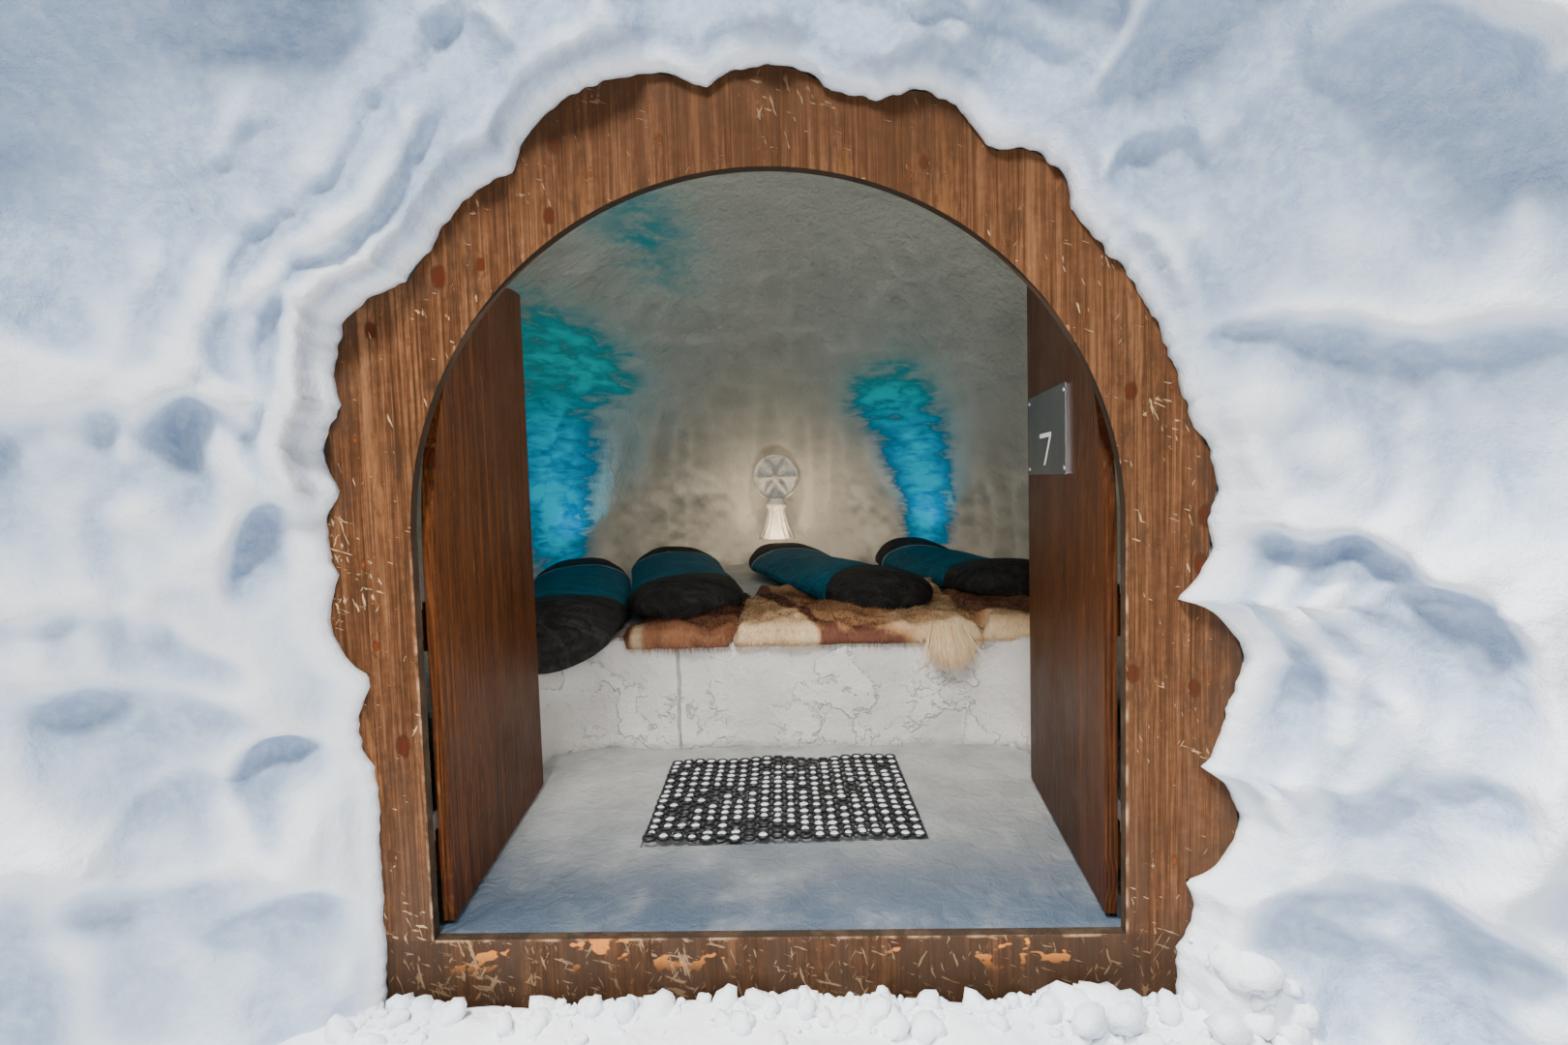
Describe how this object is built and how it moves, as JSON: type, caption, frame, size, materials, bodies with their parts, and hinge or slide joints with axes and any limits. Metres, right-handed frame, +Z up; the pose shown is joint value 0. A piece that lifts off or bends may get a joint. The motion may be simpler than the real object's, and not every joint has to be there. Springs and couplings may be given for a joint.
{
  "type": "snow igloo with an arched wooden portal and board door leaves",
  "caption": "Domed snow igloo with a flared mouth, an arched scalloped wooden portal, inward-opening board leaves, a snow sleeping platform, hides and sleeping bags.",
  "frame": {"origin": "on the ground under the centre of the dome", "axes": "+Z up, the doorway faces -Y, +X to the right seen from outside the doorway"},
  "size_m": [5.8996, 4.9822, 3.26],
  "materials": {
    "snow": "matte",
    "stained_wood": "matte",
    "dark_wood": "satin",
    "iron": "satin",
    "plate": "satin",
    "rubber": "matte",
    "hide_brown": "matte",
    "hide_cream": "matte",
    "hide_grey": "matte",
    "bag_shell": "matte"
  },
  "bodies": {
    "igloo": {"wall_right_front": "snow", "wall_right": "snow", "wall_right_back": "snow", "wall_back": "snow", "wall_left_back": "snow", "wall_left": "snow", "wall_left_front": "snow", "dome_right_front": "snow", "dome_right": "snow", "dome_right_back": "snow", "dome_back": "snow", "dome_left_back": "snow", "dome_left": "snow", "dome_left_front": "snow", "dome_crown": "snow", "mouth_pier_left": "snow", "mouth_pier_right": "snow", "mouth_arch_left": "snow", "mouth_arch_right": "snow", "doorstep": "snow", "floor": "snow", "bench_left": "snow", "bench_right": "snow", "platform_left": "snow", "platform_right": "snow", "portal_panel": "stained_wood", "left_pintles": "iron", "right_pintles": "iron", "ring_mat": "rubber", "hide_brown": "hide_brown", "hide_cream": "hide_cream", "hide_grey": "hide_grey", "sleeping_bag_left": "bag_shell", "sleeping_bag_mid_left": "bag_shell", "sleeping_bag_mid_right": "bag_shell", "sleeping_bag_right": "bag_shell"},
    "left_door": {"left_leaf": "dark_wood", "left_ledges": "dark_wood", "left_straps": "iron"},
    "right_door": {"right_leaf": "dark_wood", "right_ledges": "dark_wood", "right_straps": "iron", "number_plate": "plate"}
  },
  "joints": [
    {"name": "left_door_hinge", "type": "hinge", "parent": "igloo", "child": "left_door", "pos_m": [-0.776, -1.5147, 0.17], "axis": [0, 0, -1], "range_deg": [0, 95]},
    {"name": "right_door_hinge", "type": "hinge", "parent": "igloo", "child": "right_door", "pos_m": [0.776, -1.5147, 0.17], "axis": [0, 0, 1], "range_deg": [0, 95]}
  ]
}
